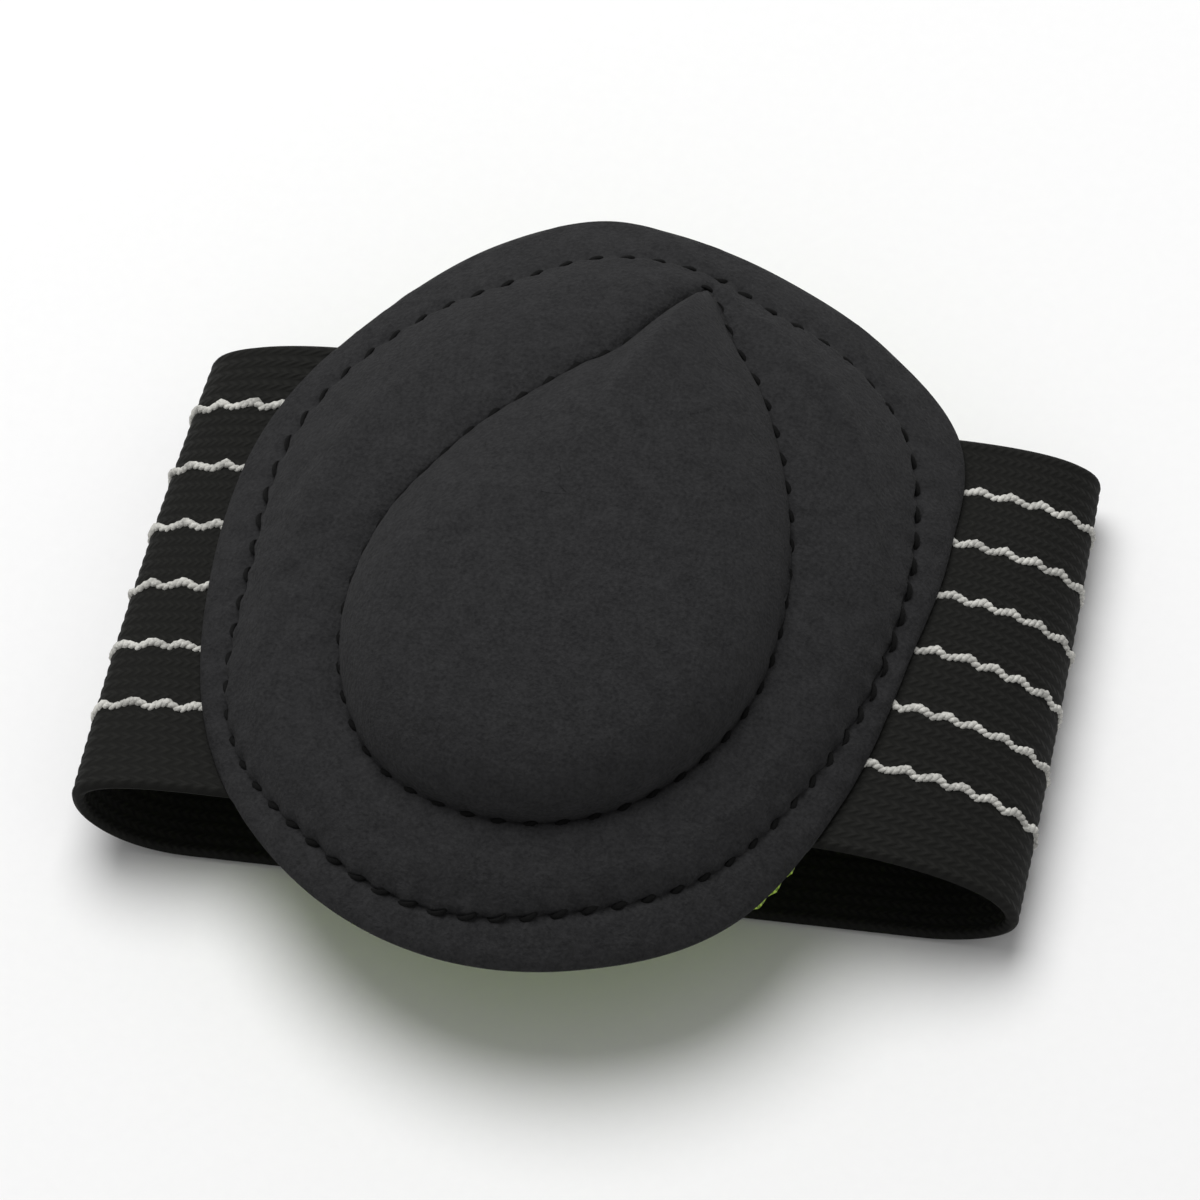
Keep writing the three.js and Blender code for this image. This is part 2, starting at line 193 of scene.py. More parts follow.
class ViewSettings(bpy.types.PropertyGroup):
    """Place of the camera and strength of the lights"""

    azimuth: plain("Azimuth", "Camera's turn round the sleeve in degrees", 12)
    elevation: plain("Elevation", "Camera's height over the horizon in degrees", 60)
    distance: size("Distance", "From the camera to the sleeve", 1.0)
    field: size("Field", "Width of what the camera shows at the sleeve", 0.134)
    key: plain("Key light", "Power of the key light in watts", 14.5)
    key_size: size("Key size", "Width of the key light's disk", 1.0)
    fill: plain("Fill", "Strength of the light from all round", 0.36)


def settings():
    return bpy.context.scene.sleeve


class SleeveSettings(bpy.types.PropertyGroup):
    """All sizes and colours of the sleeve"""

    pad: PointerProperty(name="Pad", description="Sizes of the quilted pad", type=PadSizes)
    quilt: PointerProperty(name="Quilting", description="Sizes of cushion and seams", type=QuiltSizes)
    band: PointerProperty(name="Band", description="Sizes of band and stripes", type=BandSizes)
    finish: PointerProperty(name="Colours", description="Colours of the sleeve", type=FinishColours)
    view: PointerProperty(name="View", description="Camera and lights", type=ViewSettings)


# Shape of the pad

# The cover's shoulder is longest, by a share, some degrees past the far end, and shortest opposite.
SHOULDER_SWING = 0.45
SHOULDER_TURN = 20
# Share of the rise by which the cover may press the cushion in.
PRESS = 0.17
# Share of a seam's depth that is even, and the share that each stitch pulls in, for both seams.
SEAM_PULL = {1: (0.8, 0.25), 2: (0.5, 0.55)}
# Share by which both seams are shallower at the far end.
FAR_SLACK = 0.45
# Where the lining's cut edge peeps out: degrees from +X, and half its length in degrees.
LONG_PEEP = (321, 9)
SHORT_PEEP = (228, 1.5)
# Waves of the frayed edge round the pad, and the share of the cover's seams that shows in the lining.
FRAY_WAVES = 100
LINING_PULL = 0.35


def outline_share(column, angles):
    """Shares of the pad's half size at some angles, on a smooth closed curve through the outline's rows."""
    rows = np.array(OUTLINE)
    count = len(rows)
    angles = np.asarray(angles, dtype=float) % 360
    row = np.searchsorted(rows[:, 0], angles, side="right") - 1

    def turn(index):
        return rows[index % count, 0] + 360 * (index // count)

    def slope(start, end):
        return (rows[end % count, column] - rows[start % count, column]) / (turn(end) - turn(start))

    def sharp(index):
        return (column == 1) & (rows[index % count, 0] == CUSHION_TIP)

    span = turn(row + 1) - turn(row)
    t = (angles - turn(row)) / span
    leaving = np.where(sharp(row), slope(row, row + 1), slope(row - 1, row + 1))
    arriving = np.where(sharp(row + 1), slope(row, row + 1), slope(row, row + 2))
    blend = t * t * (3 - 2 * t)
    straight = rows[row, column] * (1 - blend) + rows[(row + 1) % count, column] * blend
    return straight + span * t * (1 - t) * (leaving * (1 - t) - arriving * t)


def pad_height(x, y):
    """Height of the pad's plain surface: a dome that falls faster than a circle at the near end."""
    pad = settings().pad
    across = (x - pad.crown_across) / (pad.width / 2)
    along = (y - pad.crown_along) / (pad.length / 2)
    side = np.where(across < 0, pad.left_drop, pad.right_drop) * across**2
    near = pad.near_drop * np.abs(along) ** pad.near_curve
    return pad.crown_height - side - np.where(along < 0, near, pad.far_drop * along**2)


def on_pad(x, y, lift):
    """Points that lie a lift above the pad's plain surface, square to it."""
    step = 5e-5
    slope_x = (pad_height(x + step, y) - pad_height(x - step, y)) / (2 * step)
    slope_y = (pad_height(x, y + step) - pad_height(x, y - step)) / (2 * step)
    steep = np.sqrt(slope_x**2 + slope_y**2 + 1)
    height = pad_height(x, y) + lift / steep
    return np.stack([x - slope_x * lift / steep, y - slope_y * lift / steep, height], axis=-1)


class Spokes:
    """Spokes of the pad. Reach 0 is the centre, 1 the cushion's seam, 2 the edge seam and 3 the edge."""

    def __init__(self, count):
        pad = settings().pad
        self.angles = CUSHION_TIP + 360 * np.arange(count) / count
        turn = np.radians(self.angles)
        self.arms = np.stack([pad.width / 2 * np.cos(turn), pad.length / 2 * np.sin(turn)])
        self.length = np.hypot(*self.arms)
        stops = [outline_share(column, self.angles) for column in (1, 2, 3)]
        self.stops = np.stack([np.zeros(count), *stops])

    def width(self, zone):
        return (self.stops[zone + 1] - self.stops[zone]) * self.length

    def plan(self, reach, out=0.0):
        zone = np.clip(np.floor(reach).astype(int), 0, 2)
        place = np.arange(len(self.angles))
        start, end = self.stops[zone, place], self.stops[zone + 1, place]
        return self.arms * (start + (end - start) * (reach - zone) + out / self.length)

    def seam_length(self, reach):
        """Length along a seam from the cushion's tip to each spoke, and the whole length."""
        x, y = self.plan(np.full(len(self.angles), float(reach)))
        points = on_pad(x, y, 0)
        steps = np.linalg.norm(np.roll(points, -1, axis=0) - points, axis=1)
        return np.concatenate([[0], np.cumsum(steps)[:-1]]), steps.sum()


def foam_share(distance):
    """Share of the cushion's full rise at a distance in from its seam."""
    quilt = settings().quilt
    return 1 - (1 - np.clip(distance / quilt.shoulder, 0, 1)) ** quilt.fullness


def dome_share(spokes, distance):
    """The same for the cover, whose shoulder is steep at the near end and long towards the tip."""
    quilt = settings().quilt
    shoulder = quilt.shoulder * (1 + SHOULDER_SWING * np.sin(np.radians(spokes.angles - SHOULDER_TURN)))
    own = 1 - (1 - np.clip(distance / shoulder, 0, 1)) ** quilt.fullness
    return np.maximum(own, foam_share(distance) - PRESS)


def seam_dip(spokes, reach, distance):
    """Depth of a seam at a distance from it: deeper under each stitch and shallower at the far end."""
    quilt = settings().quilt
    along, whole = spokes.seam_length(reach)
    stitches = round(whole / quilt.pitch)
    under = 0.5 + 0.5 * np.cos(2 * np.pi * stitches * along / whole)
    even, pulled = SEAM_PULL[reach]
    tension = 1 - FAR_SLACK * np.clip(np.sin(np.radians(spokes.angles)), 0, 1)
    return quilt.seam_sink * np.exp(-distance / quilt.seam_reach) * tension * (even + pulled * under)


def cover_lift(spokes, reach):
    """Lift of the cover's outer face at a reach along each spoke."""
    pad, quilt = settings().pad, settings().quilt
    inner, border, flange = (spokes.width(zone) for zone in range(3))
    inside = (1 - reach) * inner
    bulge = 1 + quilt.near_bulge * reach * np.clip(-np.sin(np.radians(spokes.angles)), 0, 1)
    dome = quilt.rise * dome_share(spokes, inside) * bulge
    across = np.clip(reach - 1, 0, 1)
    puff = quilt.puff * np.minimum(1, border / quilt.border) * 4 * across * (1 - across)
    past = np.clip(reach - 2, 0, 1)
    rolled = -pad.edge_round * past**5
    body = np.where(reach <= 1, dome, np.where(reach <= 2, puff, rolled))
    from_cushion = np.where(reach <= 1, inside, (reach - 1) * border)
    from_edge = np.where(reach <= 2, (2 - np.maximum(reach, 1)) * border, past * flange)
    dips = np.maximum(seam_dip(spokes, 1, from_cushion), seam_dip(spokes, 2, from_edge))
    dips = np.where(reach <= 1, seam_dip(spokes, 1, from_cushion), dips)
    return body - dips


def place_pad(points):
    """Moves points from the pad's own centre to the sleeve's frame."""
    pad = settings().pad
    return points + np.array([pad.centre_x, pad.centre_y, 0.0])


def sleeve_mesh(name, points, faces):
    """A smooth piece of the scene from its points and faces."""
    mesh = bpy.data.meshes.new(name)
    mesh.from_pydata([tuple(point) for point in points], [], [tuple(face) for face in faces])
    mesh.validate()
    mesh.shade_smooth()
    piece = bpy.data.objects.new(name, mesh)
    bpy.context.scene.collection.objects.link(piece)
    return piece


def dress(piece, finish, slot, *nodes):
    """Gives a piece its finish and lets it stand for its solids."""
    piece.data.materials.clear()
    piece.data.materials.append(finish)
    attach(piece, "root")
    if nodes:
        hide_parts(*nodes)


def choose_only(*pieces):
    """Selects some pieces alone and makes the first one active."""
    bpy.ops.object.select_all(action="DESELECT")
    for piece in pieces:
        piece.select_set(True)
    bpy.context.view_layer.objects.active = pieces[0]


def loop_faces(rings, around):
    """Faces of a closed skin: a pole, rings that run out and back, and a second pole."""
    here = np.arange(around)
    following = (here + 1) % around
    faces = [(0, 1 + a, 1 + b) for a, b in zip(here, following)]
    for start in 1 + around * np.arange(rings - 1):
        pairs = zip(start + here, start + following)
        faces += [(a, a + around, b + around, b) for a, b in pairs]
    last = 1 + rings * around
    start = last - around
    faces += [(last, start + b, start + a) for a, b in zip(here, following)]
    return faces


def strap_faces(rows, columns):
    """Faces of a closed strap between two grids of points."""
    faces = []

    def at(side, row, column):
        return (side * rows + row) * columns + column

    for row in range(rows - 1):
        below = row + 1
        for near in range(columns - 1):
            far = near + 1
            square = ((row, near), (row, far), (below, far), (below, near))
            for side, order in ((0, 1), (1, -1)):
                faces.append([at(side, *corner) for corner in square[::order]])
        end = columns - 1
        faces.append((at(0, row, 0), at(0, below, 0), at(1, below, 0), at(1, row, 0)))
        faces.append((at(0, row, end), at(1, row, end), at(1, below, end), at(0, below, end)))
    last = rows - 1
    for near in range(columns - 1):
        far = near + 1
        faces.append((at(0, 0, near), at(1, 0, near), at(1, 0, far), at(0, 0, far)))
        faces.append((at(0, last, near), at(0, last, far), at(1, last, far), at(1, last, near)))
    return faces


# Materials

# Kinds of shader node. A range node's inputs 1 and 2 are where its values come from, 3 and 4 where they go.
MATH = "ShaderNodeMath"
NOISE = "ShaderNodeTexNoise"
RANGE = "ShaderNodeMapRange"
# Layers and roughness of the noise in all materials.
GRAIN = {"Detail": 3, "Roughness": 0.6}


def add_node(tree, kind, inputs=None, **choices):
    """Adds a shader node. An input is a value, an output to link from, or a node whose first output is."""
    node = tree.nodes.new(kind)
    for name, value in choices.items():
        setattr(node, name, value)
    for place, value in (inputs or {}).items():
        if isinstance(value, bpy.types.Node):
            value = value.outputs[0]
        if isinstance(value, bpy.types.NodeSocket):
            tree.links.new(value, node.inputs[place])
        else:
            node.inputs[place].default_value = value
    return node


def in_millimetres(tree, coordinates):
    """A piece's coordinates of one kind, in millimetres."""
    place = add_node(tree, "ShaderNodeTexCoord").outputs[coordinates]
    return add_node(tree, "ShaderNodeMapping", {"Vector": place, "Scale": (1000, 1000, 1000)})


def new_finish(name, uniform):
    """A material with its uniform numbers: its tree, its shader and its coordinates in millimetres."""
    finish = bpy.data.materials.new(name)
    finish.use_nodes = True
    tree = finish.node_tree
    shader = tree.nodes["Principled BSDF"]
    for socket, value in uniform.items():
        shader.inputs[socket].default_value = value
    return finish, tree, shader, in_millimetres(tree, "Object")


def opaque(value):
    """A colour with its alpha."""
    return (*value, 1.0)


def link_surface(tree, shader, shade, dark, light, height, depth):
    """Links a colour that a shade moves from dark to light, and a relief with its depth in millimetres."""
    # Inputs 6 and 7 of a colour mix are its two colours, and output 2 is the mix.
    ends = {0: shade, 6: opaque(dark), 7: opaque(light)}
    mixed = add_node(tree, "ShaderNodeMix", ends, data_type="RGBA").outputs[2]
    tree.links.new(mixed, shader.inputs["Base Color"])
    relief = add_node(tree, "ShaderNodeBump", {"Height": height, "Distance": depth / 1000})
    tree.links.new(relief.outputs["Normal"], shader.inputs["Normal"])


def brushed_nylon():
    """Brushed loop nylon: a matt nap of short fibres, faintly mottled where tufts lie differently, with
    painted shade where fibres lie deeper.
    """
    colours = settings().finish
    matt = {"Roughness": 0.95, "Specular IOR Level": 0.1, "Sheen Weight": 0.02, "Sheen Roughness": 0.5}
    finish, tree, shader, place = new_finish("Brushed loop nylon", matt)
    # In millimetres. Real fibres are 0.1 mm thick, and are drawn coarser so that they show.
    fibre, tuft = 0.45, 2.4
    fibres = add_node(tree, NOISE, {"Vector": place, "Scale": 1 / fibre, **GRAIN})
    tufts = add_node(tree, NOISE, {"Vector": place, "Scale": 1 / tuft, **GRAIN})
    nap = add_node(tree, MATH, {0: tufts, 1: 0.5, 2: fibres}, operation="MULTIPLY_ADD")
    shade = add_node(tree, RANGE, {0: nap, 1: 0.5, 2: 1.0})
    # The colour mixes random mottle of the tufts with painted shade where the fibres lie deeper.
    link_surface(tree, shader, shade, colours.cloth_mottle_and_shade, colours.cloth, fibres, 0.22)
    return finish


def mesh_knit():
    """Warp-knit polyester mesh: small holes on slanted rows over a bright ground, darkened with painted
    shade.
    """
    colours = settings().finish
    matt = {"Roughness": 0.85, "Sheen Weight": 0.15}
    finish, tree, shader, place = new_finish("Polyester mesh knit", matt)
    axes = add_node(tree, "ShaderNodeSeparateXYZ", {"Vector": place}).outputs
    pitch = 1.0  # millimetres from hole to hole along a row
    rows = []
    for way in ("ADD", "SUBTRACT"):
        slanted = add_node(tree, MATH, {0: axes["X"], 1: axes["Y"]}, operation=way)
        phase = add_node(tree, MATH, {0: slanted, 1: math.pi / pitch}, operation="MULTIPLY")
        rows.append(add_node(tree, MATH, {0: phase}, operation="SINE"))
    crossing = add_node(tree, MATH, dict(enumerate(rows)), operation="MULTIPLY")
    holes = add_node(tree, MATH, {0: crossing}, operation="ABSOLUTE")
    ground = add_node(tree, RANGE, {0: holes, 1: 0.45, 2: 0.9, 3: 1.0, 4: 0.0})
    # Painted shade: the holes of the knit are darker than its ground.
    link_surface(tree, shader, ground, colours.lining_painted_shade, colours.lining, ground, 0.25)
    return finish


def knit_elastic():
    """Warp-knit elastic: fine ribs along the band, each a chain of small slanted loops, dull black, with
    painted shade in the grooves.
    """
    colours = settings().finish
    dull = {"Roughness": 0.8, "Specular IOR Level": 0.16}
    finish, tree, shader, place = new_finish("Warp knit elastic", dull)
    axes = add_node(tree, "ShaderNodeSeparateXYZ", {"Vector": in_millimetres(tree, "UV")}).outputs
    # In millimetres: from one rib to the next, from one loop to the next, and the fibres, drawn coarser.
    wale, loop, fibre = 1000 * settings().band.wale, 1.1, 0.3
    steepness = 1.1  # of the loops' slant to the ribs
    rib_phase = add_node(tree, MATH, {0: axes["Y"], 1: math.pi / wale}, operation="MULTIPLY")
    rib_wave = add_node(tree, MATH, {0: rib_phase}, operation="SINE")
    ribs = add_node(tree, MATH, {0: rib_wave}, operation="ABSOLUTE")
    from_rib = add_node(tree, MATH, {0: axes["Y"], 1: wale / 2}, operation="PINGPONG")
    slanted = add_node(tree, MATH, {0: from_rib, 1: steepness, 2: axes["X"]}, operation="MULTIPLY_ADD")
    loop_phase = add_node(tree, MATH, {0: slanted, 1: 2 * math.pi / loop}, operation="MULTIPLY")
    loop_wave = add_node(tree, MATH, {0: loop_phase}, operation="SINE")
    loops = add_node(tree, MATH, {0: loop_wave, 1: 0.5, 2: 0.5}, operation="MULTIPLY_ADD")
    knit = add_node(tree, MATH, {0: ribs, 1: loops}, operation="MULTIPLY")
    fibres = add_node(tree, NOISE, {"Vector": place, "Scale": 1 / fibre, **GRAIN})
    height = add_node(tree, MATH, {0: fibres, 1: 0.5, 2: knit}, operation="MULTIPLY_ADD")
    # Painted shade: the knit is darker where its ribs and loops lie low.
    link_surface(tree, shader, height, colours.elastic_painted_shade, colours.elastic, height, 0.1)
    return finish


def spun_yarn(name, yarn_colour, ply, sunk_shade):
    """Spun yarn: matt, with plies that show as fine streaks of painted shade, and darker in random patches,
    painted shade for where it sinks in.
    """
    matt = {"Roughness": 0.9, "Specular IOR Level": 0.2}
    finish, tree, shader, place = new_finish(name, matt)
    patch = 2.5  # millimetres
    plies = add_node(tree, NOISE, {"Vector": place, "Scale": 1 / ply, **GRAIN})
    patches = add_node(tree, NOISE, {"Vector": place, "Scale": 1 / patch, **GRAIN})
    both = add_node(tree, MATH, {0: plies, 1: patches}, operation="ADD")
    shade = add_node(tree, RANGE, {0: both, 1: 0.7, 2: 1.2})
    # The dark end is painted shade: the yarn's own colour darkened by the last argument's share.
    link_surface(tree, shader, shade, [sunk_shade * value for value in yarn_colour], yarn_colour, plies, 0.1)
    return finish


def cut_foam():
    """Cut polyurethane foam: matt, with open cells of about half a millimetre, drawn darker in their
    middles as painted shade.
    """
    finish, tree, shader, place = new_finish("Cut polyurethane foam", {"Roughness": 0.95})
    foam = settings().finish.foam
    cell = 0.5  # millimetres
    cells = add_node(tree, "ShaderNodeTexVoronoi", {"Vector": place, "Scale": 1 / cell})
    # Painted shade: the foam is darker in the middle of each open cell.
    link_surface(tree, shader, cells, [0.7 * value for value in foam], foam, cells, 0.2)
    return finish


def painted_floor():
    """Matt painted board, plain and pale, faintly uneven as a roller leaves it."""
    matt = {"Roughness": 0.9, "Specular IOR Level": 0.1}
    finish, tree, shader, place = new_finish("Matt painted board", matt)
    paint = settings().finish.floor
    lump = 1.5  # millimetres
    stipple = add_node(tree, NOISE, {"Vector": place, "Scale": 1 / lump, **GRAIN})
    link_surface(tree, shader, stipple, [0.97 * value for value in paint], paint, stipple, 0.02)
    return finish


# Pieces

# Spokes of the pad's pieces, and their rings on the dome, on the border between both seams and outside.
SPOKES = 400
COVER_RINGS = (26, 22, 9)
LINING_RINGS = (18, 16, 6)
COVER_SEAMS = (COVER_RINGS[0], sum(COVER_RINGS[:2]))
# Down the cover's cut edge, with a groove between its two cloths: share of its depth, and millimetres out.
RIM = ((0.12, 0.12), (0.3, 0.16), (0.44, -0.12), (0.56, 0.1), (0.8, 0.14), (1.0, 0.0))
# How the cover swells: its cloth and the pressure in it, the frames of the simulation, and how far inwards
# a point may move, as a share of the way that it may move outwards.
SWELL_CLOTH = {
    "quality": 5,
    "mass": 0.04,
    "tension_stiffness": 12,
    "compression_stiffness": 6,
    "shear_stiffness": 4,
    "bending_stiffness": 0.05,
    "shrink_min": -0.012,
    "use_pressure": True,
    "uniform_pressure_force": 4,
}
SWELL_FRAMES = 20
SWELL_INWARDS = 0.1


def ring_reaches(dome, border, flange):
    """Reaches of the rings from the centre out to the edge, closer together beside the seams."""
    return np.concatenate([
        1 - (1 - np.linspace(0, 1, dome + 1)[1:]) ** 1.5,
        1.5 - 0.5 * np.cos(np.pi * np.linspace(0, 1, border + 1)[1:]),
        2 + np.linspace(0, 1, flange + 1)[1:],
    ])


def edge_across(v, side):
    """Where the band's line at v crosses the pad's cut edge on one side."""
    pad, band = settings().pad, settings().band
    angles = np.linspace(270, 90, 721) if side < 0 else np.linspace(-90, 90, 721)
    turn = np.radians(angles)
    edge = outline_share(3, angles)
    x, y = pad.width / 2 * edge * np.cos(turn), pad.length / 2 * edge * np.sin(turn)
    return np.interp(v, y - band.shift - band.skew * x, x)


def cover_depth(x, y):
    """Thickness of the cover: all of it, or its cloth alone over the band's tucked ends."""
    pad, band = settings().pad, settings().band
    v = y - band.shift - band.skew * x
    inside = np.abs(v) < band.width / 2 + pad.gap
    left = x < edge_across(v, -1) + band.tuck + pad.gap
    right = x > edge_across(v, 1) - band.tuck - pad.gap
    full = pad.cloth + pad.gap + band.thickness
    return np.where(inside & (left | right), pad.cloth, full)


def cover_points(spokes):
    """Rings of the cover: out over its top, down the cut edge and back under it into the cushion's room."""
    pad, quilt = settings().pad, settings().quilt
    count = len(spokes.angles)
    rings = []
    for reach in ring_reaches(*COVER_RINGS):
        reaches = np.full(count, reach)
        x, y = spokes.plan(reaches)
        rings.append(on_pad(x, y, cover_lift(spokes, reaches)))
    edge = np.full(count, 3.0)
    top = cover_lift(spokes, edge)
    for fall, out in RIM:
        x, y = spokes.plan(edge, out / 1000)
        rings.append(on_pad(x, y, top * (1 - fall) - fall * cover_depth(*spokes.plan(edge))))
    room = 1 - (quilt.inset - pad.gap) / spokes.width(0)
    for reach in [*np.linspace(2.92, 2, 9), *np.linspace(1.93, 1, 14), room]:
        reaches = np.broadcast_to(reach, (count,)).astype(float)
        x, y = spokes.plan(reaches)
        rings.append(on_pad(x, y, -cover_depth(x, y)))
    for part in (1, 0.85, 0.6, 0.3):
        reaches = room * part
        x, y = spokes.plan(reaches)
        dome = quilt.rise * dome_share(spokes, (1 - reaches) * spokes.width(0))
        rings.append(on_pad(x, y, dome - pad.cloth))
    centre = np.zeros(1)
    poles = [on_pad(centre, centre, quilt.rise - depth) for depth in (0, pad.cloth)]
    return np.concatenate([poles[0], *rings, poles[1]]), len(rings)


def inflate(piece, sewn, most):
    """Swells a piece with a cloth simulation, held where it is sewn, and caps how far a point may move.
    Inwards it moves least, because the filling is there."""
    start = np.array([vertex.co for vertex in piece.data.vertices])
    out = np.array([vertex.normal for vertex in piece.data.vertices])
    held = piece.vertex_groups.new(name="Sewn")
    held.add([int(place) for place in sewn], 1.0, "REPLACE")
    cloth = piece.modifiers.new("Swell", "CLOTH")
    for name, value in SWELL_CLOTH.items():
        setattr(cloth.settings, name, value)
    cloth.settings.vertex_group_mass = held.name
    cloth.settings.effector_weights.gravity = 0
    cloth.collision_settings.use_collision = False
    cloth.point_cache.frame_start = 1
    cloth.point_cache.frame_end = SWELL_FRAMES
    scene = bpy.context.scene
    for moment in range(1, SWELL_FRAMES + 1):
        scene.frame_set(moment)
    swollen = piece.evaluated_get(bpy.context.evaluated_depsgraph_get())
    moved = np.array([vertex.co for vertex in swollen.data.vertices]) - start
    piece.modifiers.remove(cloth)
    piece.vertex_groups.remove(held)
    scene.frame_set(1)
    inwards = np.minimum(np.sum(moved * out, axis=1) + SWELL_INWARDS * most, 0)
    moved -= inwards[:, None] * out
    far = np.linalg.norm(moved, axis=1)
    scale = np.minimum(1, most / np.maximum(far, 1e-9))
    piece.data.vertices.foreach_set("co", (start + moved * scale[:, None]).ravel())
    piece.data.update()


class SLEEVE_OT_pad_cover(bpy.types.Operator):
    """Model the quilted cover of the pad"""

    bl_idname = "sleeve.pad_cover"
    bl_label = "Pad Cover"

    def execute(self, context):
        spokes = Spokes(SPOKES)
        points, rings = cover_points(spokes)
        cover = sleeve_mesh("quilted_cover", place_pad(points), loop_faces(rings, SPOKES))
        seams = [1 + (ring - 1) * SPOKES + np.arange(SPOKES) for ring in COVER_SEAMS]
        under = np.arange(1 + (sum(COVER_RINGS) - 1) * SPOKES, len(points))
        inflate(cover, np.concatenate([*seams, under]), settings().quilt.swell)
        dress(cover, brushed_nylon(), "brushed_cloth", "pad_cover")
        return {"FINISHED"}


class SLEEVE_OT_pad_lining(bpy.types.Operator):
    """Model the knit lining under the pad"""

    bl_idname = "sleeve.pad_lining"
    bl_label = "Pad Lining"

    def execute(self, context):
        pad, quilt, band = settings().pad, settings().quilt, settings().band
        spokes = Spokes(SPOKES)
        count = len(spokes.angles)
        depth = pad.cloth + band.thickness + 2 * pad.gap
        outer = ring_reaches(*LINING_RINGS)
        edge = 3 - pad.lining_inset / spokes.width(2)
        # Its cut edge peeps out from under the cover at the near right and in one tuft at the near left.
        frayed = 0.9 + 0.1 * np.cos(np.radians(spokes.angles) * FRAY_WAVES)
        long_peep, short_peep = (
            (spokes.angles % 360 - middle) / half for middle, half in (LONG_PEEP, SHORT_PEEP)
        )
        peep = quilt.peep * frayed * (np.exp(-(long_peep**4)) + np.exp(-(short_peep**2)))
        rings = []
        for side, reaches in ((0, outer), (1, outer[::-1])):
            for reach in reaches:
                flange = np.clip(reach - 2, 0, 1)
                reach = np.minimum(np.full(count, reach), edge)
                x, y = spokes.plan(reach, peep * flange)
                sag = quilt.sag * foam_share((1 - reach) * spokes.width(0)) * (reach < 1)
                from_edge = np.abs(reach - 2) * spokes.width(1)
                from_cushion = np.abs(reach - 1) * spokes.width(0)
                pull = seam_dip(spokes, 2, from_edge) + seam_dip(spokes, 1, from_cushion)
                rings.append(on_pad(x, y, -depth - sag - side * (pad.lining - LINING_PULL * pull)))
        centre = np.zeros(1)
        poles = [on_pad(centre, centre, -depth - quilt.sag - side * pad.lining) for side in (0, 1)]
        points = np.concatenate([poles[0], *rings, poles[1]])
        lining = sleeve_mesh("knit_lining", place_pad(points), loop_faces(len(rings), count))
        dress(lining, mesh_knit(), "lime_knit", "pad_lining")
        return {"FINISHED"}


class SLEEVE_OT_arch_cushion(bpy.types.Operator):
    """Give the foam inside the pad its finish"""

    bl_idname = "sleeve.arch_cushion"
    bl_label = "Arch Cushion"

    def execute(self, context):
        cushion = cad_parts["arch_cushion"]
        cushion.data.materials.clear()
        cushion.data.materials.append(cut_foam())
        return {"FINISHED"}


# Rows of points along the band: in a tuck, down a wing, round a fold and across the ground.
TUCK_ROWS = 6
WING_ROWS = 22
FOLD_ROWS = 22
GROUND_ROWS = 60


def half_band(v, side):
    """The band's middle surface on one side: rows from the end of its tuck down to the ground."""
    pad, band = settings().pad, settings().band
    left = side < 0
    depth = pad.cloth + pad.gap + band.thickness / 2
    edge = edge_across(v, side)
    rows = []
    for part in np.linspace(0, 1, TUCK_ROWS + 1):
        x = edge - side * band.tuck * (1 - part)
        rows.append(on_pad(x, v + band.shift + band.skew * x, -depth))
    start = rows[-1]
    far = v / band.width + 0.5
    wing, taper = (band.left_wing, band.left_taper) if left else (band.right_wing, band.right_taper)
    height, turn_reach = (band.left_fold, band.left_turn) if left else (band.right_fold, band.right_turn)
    fold = side * (pad.width / 2 + wing - taper * far**2)
    end = np.stack([fold, v + band.shift + band.skew * fold, np.full(len(v), height)], axis=-1)
    bow = band.bow * np.linalg.norm(end - start, axis=1)[:, None]
    leaving = start + bow * np.array([side, side * band.skew, 0.0])
    arriving = end + bow * np.array([0.0, 0.0, 1.0])
    for t in np.linspace(0, 1, WING_ROWS + 1)[1:]:
        first_half = (1 - t) ** 3 * start + 3 * (1 - t) ** 2 * t * leaving
        rows.append(first_half + 3 * (1 - t) * t**2 * arriving + t**3 * end)
    drop = height - band.thickness / 2
    for turn in np.linspace(0, math.pi / 2, FOLD_ROWS + 1)[1:]:
        x = fold - side * turn_reach * (1 - math.cos(turn))
        z = np.full(len(v), height - drop * math.sin(turn))
        rows.append(np.stack([x, v + band.shift + band.skew * x, z], axis=-1))
    return rows


def band_rows(v):
    """The band's middle surface from one tuck round to the other, rows by places across."""
    left, right = half_band(v, -1), half_band(v, 1)[::-1]
    ground = [left[-1] + (right[0] - left[-1]) * part for part in np.linspace(0, 1, GROUND_ROWS + 1)[1:-1]]
    return np.array([*left, *ground, *right])


def band_frame(rows):
    """Unit vectors out of the band's outer face, and distances along it."""
    along = np.gradient(rows, axis=0)
    across = np.gradient(rows, axis=1)
    out = np.cross(across, along)
    out /= np.linalg.norm(out, axis=2, keepdims=True)
    steps = np.linalg.norm(np.diff(rows, axis=0), axis=2).mean(axis=1)
    return out, np.concatenate([[0], np.cumsum(steps)])


